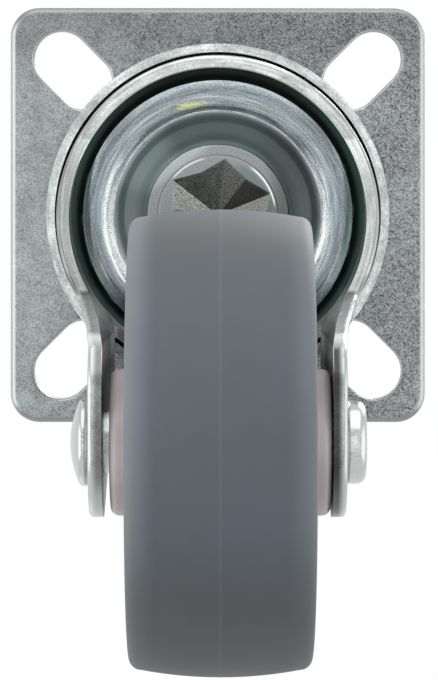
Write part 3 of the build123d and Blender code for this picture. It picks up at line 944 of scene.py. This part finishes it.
def pin_material(race):
    """A zinc-plated pin whose staked end has a star of smooth and torn facets."""
    material, nodes, shader = new_material("Staked steel")
    place = nodes.place()
    across, back, up = nodes.parts(place)
    reach = reach_from_axis(nodes, across, back)
    grain = nodes.remap(nodes.noise(place, 6500.0, 2.0, 0.65), 0.36, 0.64, smooth=False)
    staked = nodes.remap(up, *(PIN_END + height for height in STAKED_HEIGHT))
    # the star lies inside the rim, a little above the pin's very end
    punched = nodes.remap(up, PIN_END + 0.04 * MM, PIN_END + 0.12 * MM)
    punched = nodes.math("MULTIPLY", punched, nodes.remap(reach, *STAR_REACH))
    punched = nodes.math("MULTIPLY", punched, staked)
    facets = star_facets(nodes, race, grain, across, back)
    skin = pin_skin(nodes, race, grain, staked, across, back, reach)
    nodes.feed(shader, "Base Color", nodes.mix(punched, skin, facets))
    rough = nodes.remap(grain, 0.0, 1.0, 0.28, 0.45, smooth=False)
    nodes.feed(shader, "Roughness", rough)
    shader.inputs["Metallic"].default_value = 1.0
    bump(nodes, shader, nodes.math("MULTIPLY", grain, punched), 0.012 * MM)
    return material


# ---- Stage --------------------------------------------------------------------------
class CASTOR_OT_stage(Operator):
    """Sets the floor, world, lamps and camera"""

    bl_idname = "castor.stage"
    bl_label = "Stage"

    def execute(self, context):
        studio = context.scene.castor_studio
        add_floor(studio)
        set_world()
        for lamp in LAMPS:
            add_lamp(*lamp)
        add_camera(studio)
        context.scene.view_settings.view_transform = "Standard"
        return {"FINISHED"}


def add_floor(studio):
    """A pale floor at the wheel's foot, seen only from above."""
    bpy.ops.object.select_all(action="DESELECT")
    bpy.ops.mesh.primitive_plane_add(size=studio.floor_size, location=(0.0, 0.0, TREAD_LOW.z))
    floor = bpy.context.active_object
    floor.name = "floor"
    material = bpy.data.materials.new("Pale floor")
    material.use_nodes = True
    tree = material.node_tree
    tree.nodes.clear()
    nodes = Nodes(tree)
    light = nodes.add("ShaderNodeLightPath").outputs
    back = nodes.add("ShaderNodeNewGeometry").outputs["Backfacing"]
    seen = nodes.math("MULTIPLY", light["Is Camera Ray"], nodes.math("SUBTRACT", 1.0, back))
    clear = nodes.add("ShaderNodeBsdfTransparent").outputs[0]
    pale = nodes.add("ShaderNodeBsdfDiffuse", {"Color": (*studio.floor_colour, 1.0)}).outputs[0]
    glow = nodes.add(
        "ShaderNodeEmission", {"Color": (1.0, 1.0, 1.0, 1.0), "Strength": studio.floor_glow},
    ).outputs[0]
    lifted = nodes.add("ShaderNodeAddShader", {0: pale, 1: glow}).outputs[0]
    mixed = nodes.add("ShaderNodeMixShader", {0: seen, 1: clear, 2: lifted}).outputs[0]
    nodes.add("ShaderNodeOutputMaterial", {"Surface": mixed})
    floor.data.materials.append(material)


def set_world():
    """White to the camera and in reflections, softer as a light."""
    world = bpy.data.worlds.new("Studio")
    bpy.context.scene.world = world
    world.use_nodes = True
    tree = world.node_tree
    tree.nodes.clear()
    nodes = Nodes(tree)
    light = nodes.add("ShaderNodeLightPath").outputs
    seen = nodes.math("MAXIMUM", light["Is Camera Ray"], light["Is Glossy Ray"])
    seen = nodes.math("MAXIMUM", seen, light["Is Transmission Ray"])
    strength = nodes.remap(seen, 0.0, 1.0, SKY_LIGHT, 1.0, smooth=False)
    sky = nodes.add("ShaderNodeBackground", {"Color": (1.0, 1.0, 1.0, 1.0), "Strength": strength})
    nodes.add("ShaderNodeOutputWorld", {"Surface": sky.outputs[0]})


def add_lamp(name, place, size, power):
    """A square softbox that faces the swivel head."""
    lamp = bpy.data.lights.new(name, "AREA")
    lamp.size = size
    lamp.energy = power
    holder = bpy.data.objects.new(name, lamp)
    bpy.context.scene.collection.objects.link(holder)
    holder.location = place
    aim = Vector(LAMP_AIM) - holder.location
    holder.rotation_euler = aim.to_track_quat("-Z", "Y").to_euler()


def add_camera(studio):
    """Straight below the plate, looking up along the swivel axis."""
    lens = bpy.data.cameras.new("Camera")
    lens.lens = studio.focal_mm
    lens.sensor_width = SENSOR_WIDTH
    lens.sensor_fit = "AUTO"
    lens.shift_y = studio.shift
    lens.clip_start = CLIP_START
    camera = bpy.data.objects.new("Camera", lens)
    bpy.context.scene.collection.objects.link(camera)
    camera.location = (CAMERA_ASIDE, 0.0, -studio.camera_depth)
    camera.rotation_euler = (math.radians(180), 0.0, 0.0)
    bpy.context.scene.camera = camera


# ---- Panel and registration ---------------------------------------------------------
STEPS = ("tyre", "hub", "zinc", "race", "kingpin", "stage")


class CASTOR_PT_panel(Panel):
    """Lists the castor's steps"""

    bl_idname = "CASTOR_PT_panel"
    bl_label = "Castor"
    bl_space_type = "VIEW_3D"
    bl_region_type = "UI"
    bl_category = "Castor"

    def draw(self, context):
        for step in STEPS:
            self.layout.operator(f"castor.{step}")


SETTINGS = {
    "castor_zinc": CastorZincSettings,
    "castor_race": CastorRaceSettings,
    "castor_wheel": CastorWheelSettings,
    "castor_studio": CastorStudioSettings,
}
CLASSES = (
    *SETTINGS.values(), CASTOR_OT_tyre, CASTOR_OT_hub, CASTOR_OT_zinc, CASTOR_OT_race,
    CASTOR_OT_kingpin, CASTOR_OT_stage, CASTOR_PT_panel,
)


def register():
    for cls in CLASSES:
        bpy.utils.register_class(cls)
    for name, settings in SETTINGS.items():
        setattr(bpy.types.Scene, name, PointerProperty(type=settings))


def unregister():
    for name in SETTINGS:
        delattr(bpy.types.Scene, name)
    for cls in reversed(CLASSES):
        bpy.utils.unregister_class(cls)


def main():
    register()
    for step in STEPS:
        getattr(bpy.ops.castor, step)()


if __name__ == "__main__":
    main()
